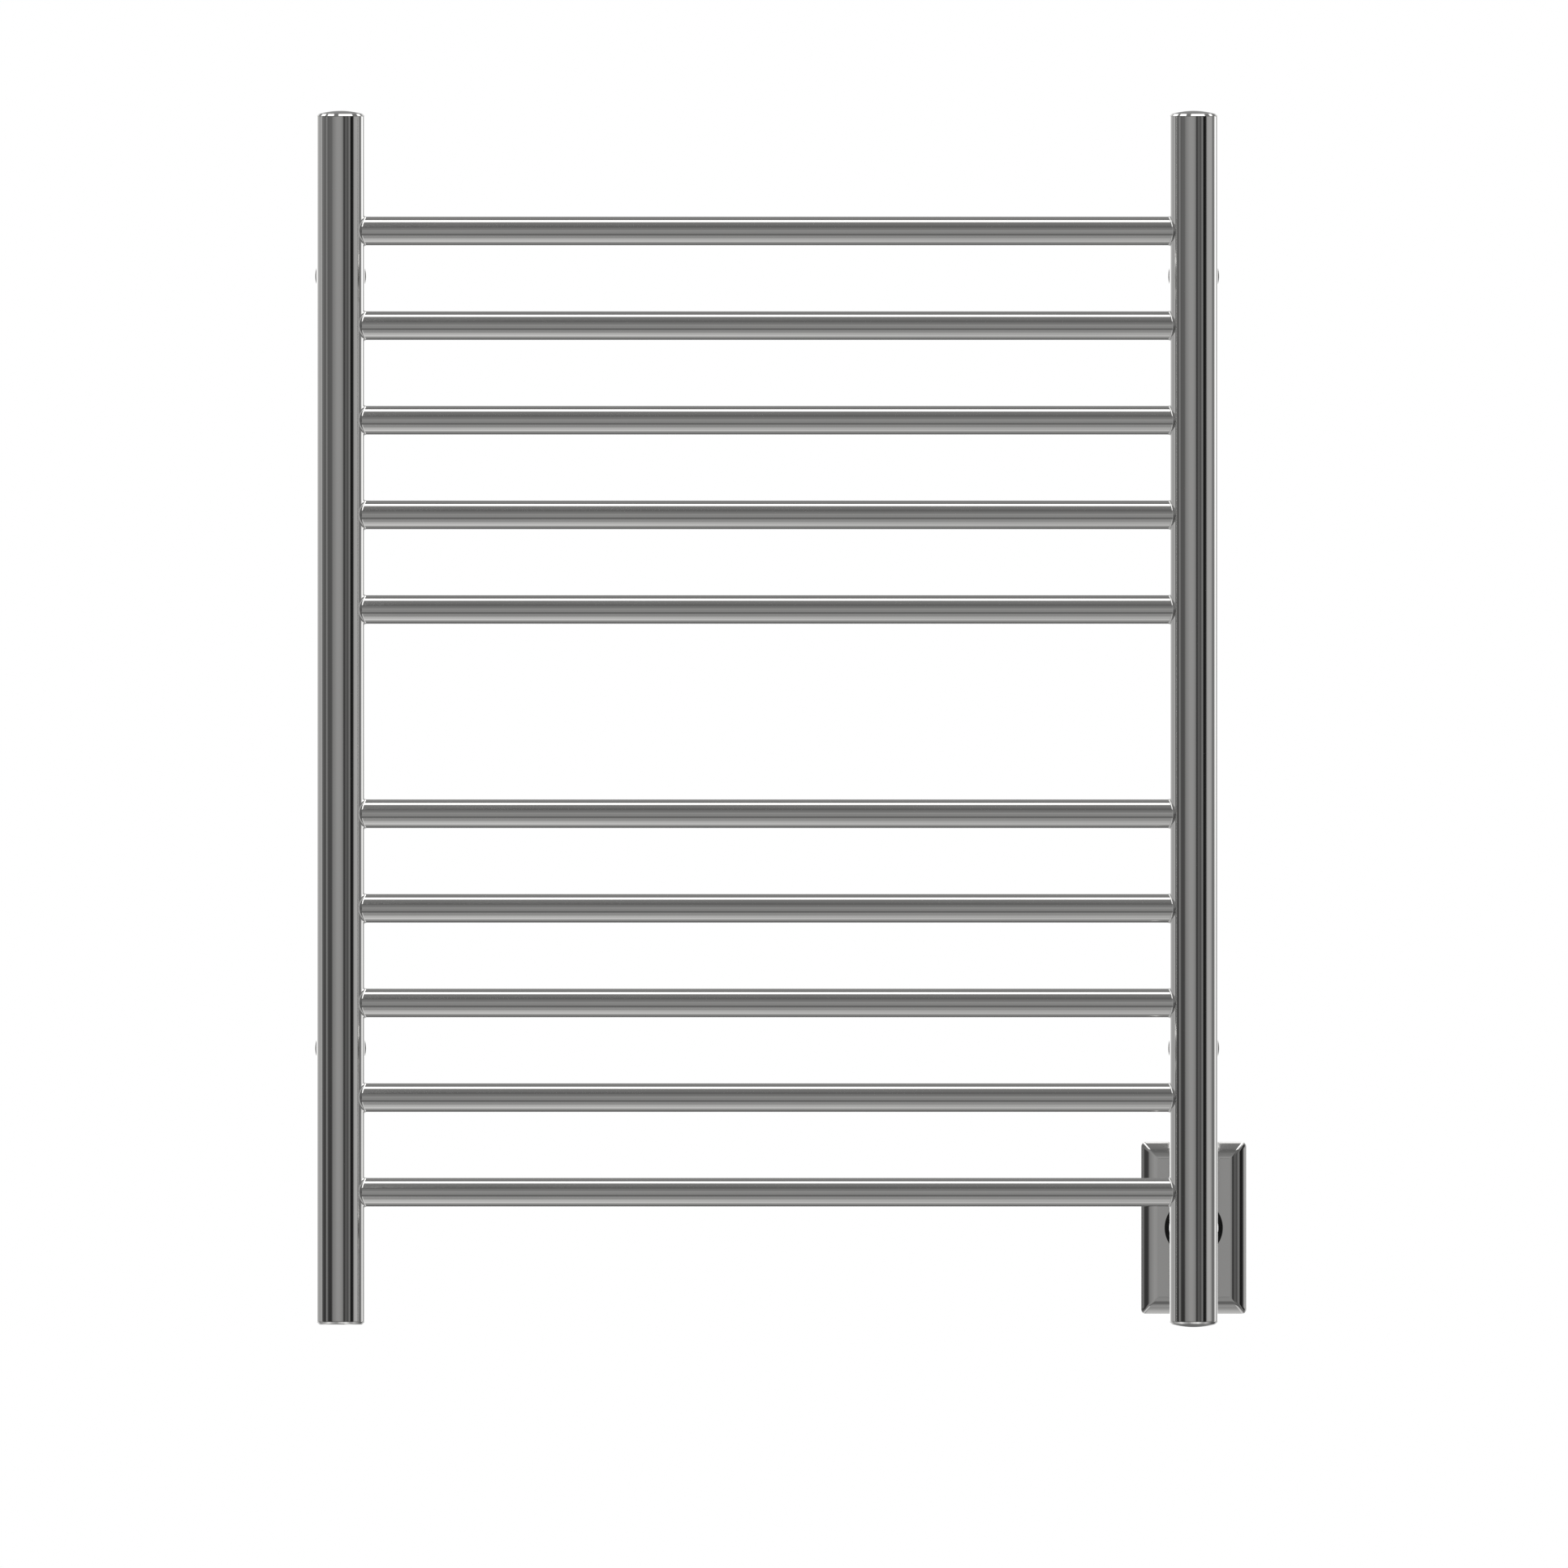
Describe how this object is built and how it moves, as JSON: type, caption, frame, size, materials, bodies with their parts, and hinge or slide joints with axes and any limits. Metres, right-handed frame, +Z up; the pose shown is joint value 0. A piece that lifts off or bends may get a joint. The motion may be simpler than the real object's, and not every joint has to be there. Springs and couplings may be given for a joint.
{
  "type": "towel warmer rack",
  "caption": "Hardwired ladder towel warmer in polished steel: two round posts and two banks of round bars on wall standoffs, with a supply wall plate.",
  "frame": {"origin": "on the wall plane, at the centre of the four standoffs", "axes": "+Z up, +X to the right seen from the room, +Y into the wall; the rack stands on the -Y side of the wall plane"},
  "size_m": [0.6199, 0.146, 0.8098],
  "materials": {
    "polished_steel": "mirror-polished stainless steel, faintly warm, crisp reflections",
    "zinc_steel": "zinc-plated steel, satin",
    "black_plastic": "smooth black nylon with a soft gloss",
    "black_rubber": "matt black rubber",
    "nylon": "natural nylon, fine moulded texture",
    "heating_silicone": "orange-brown silicone sheath",
    "lead_sheath": "white glass-braided lead"
  },
  "bodies": {
    "frame": {"post_left": "polished_steel", "post_right": "polished_steel", "bar_01": "polished_steel", "bar_02": "polished_steel", "bar_03": "polished_steel", "bar_04": "polished_steel", "bar_05": "polished_steel", "bar_06": "polished_steel", "bar_07": "polished_steel", "bar_08": "polished_steel", "bar_09": "polished_steel", "bar_10": "polished_steel", "cap_top_left": "polished_steel", "cap_top_right": "polished_steel", "cap_bottom_right": "polished_steel", "switch_bezel": "polished_steel", "standoff_arm_upper_left": "polished_steel", "standoff_arm_upper_right": "polished_steel", "standoff_arm_lower_left": "polished_steel", "standoff_arm_lower_right": "polished_steel", "power_conduit": "polished_steel", "wall_boss_upper_left": "zinc_steel", "set_screw_upper_left": "zinc_steel", "wall_screw_upper_left": "zinc_steel", "wall_boss_upper_right": "zinc_steel", "set_screw_upper_right": "zinc_steel", "wall_screw_upper_right": "zinc_steel", "wall_boss_lower_left": "zinc_steel", "set_screw_lower_left": "zinc_steel", "wall_screw_lower_left": "zinc_steel", "wall_boss_lower_right": "zinc_steel", "set_screw_lower_right": "zinc_steel", "wall_screw_lower_right": "zinc_steel", "cable_gland": "black_rubber", "lead_splice": "nylon", "switch_body": "nylon", "thermal_cutout": "nylon", "heating_cable": "heating_silicone", "return_lead": "lead_sheath", "switch_lead": "lead_sheath"},
    "sleeve_upper_left": {"cover_sleeve_upper_left": "polished_steel"},
    "sleeve_upper_right": {"cover_sleeve_upper_right": "polished_steel"},
    "sleeve_lower_left": {"cover_sleeve_lower_left": "polished_steel"},
    "sleeve_lower_right": {"cover_sleeve_lower_right": "polished_steel"},
    "plate": {"wall_plate": "polished_steel", "outlet_bushing": "black_plastic", "plate_screw_upper": "polished_steel", "plate_screw_lower": "polished_steel"},
    "button": {"switch_button": "polished_steel"}
  },
  "joints": [
    {"name": "cover_sleeve_upper_left_slide", "type": "slide", "parent": "frame", "child": "sleeve_upper_left", "axis": [0, -1, 0], "range_m": [0, 0.024]},
    {"name": "cover_sleeve_upper_right_slide", "type": "slide", "parent": "frame", "child": "sleeve_upper_right", "axis": [0, -1, 0], "range_m": [0, 0.024]},
    {"name": "cover_sleeve_lower_left_slide", "type": "slide", "parent": "frame", "child": "sleeve_lower_left", "axis": [0, -1, 0], "range_m": [0, 0.024]},
    {"name": "cover_sleeve_lower_right_slide", "type": "slide", "parent": "frame", "child": "sleeve_lower_right", "axis": [0, -1, 0], "range_m": [0, 0.024]},
    {"name": "wall_plate_slide", "type": "slide", "parent": "frame", "child": "plate", "axis": [0, -1, 0], "range_m": [0, 0.07]},
    {"name": "switch_button_press", "type": "slide", "parent": "frame", "child": "button", "axis": [0, 0, 1], "range_m": [0, 0.0015], "stiffness_N_per_m": 600, "springref_m": -0.003}
  ]
}
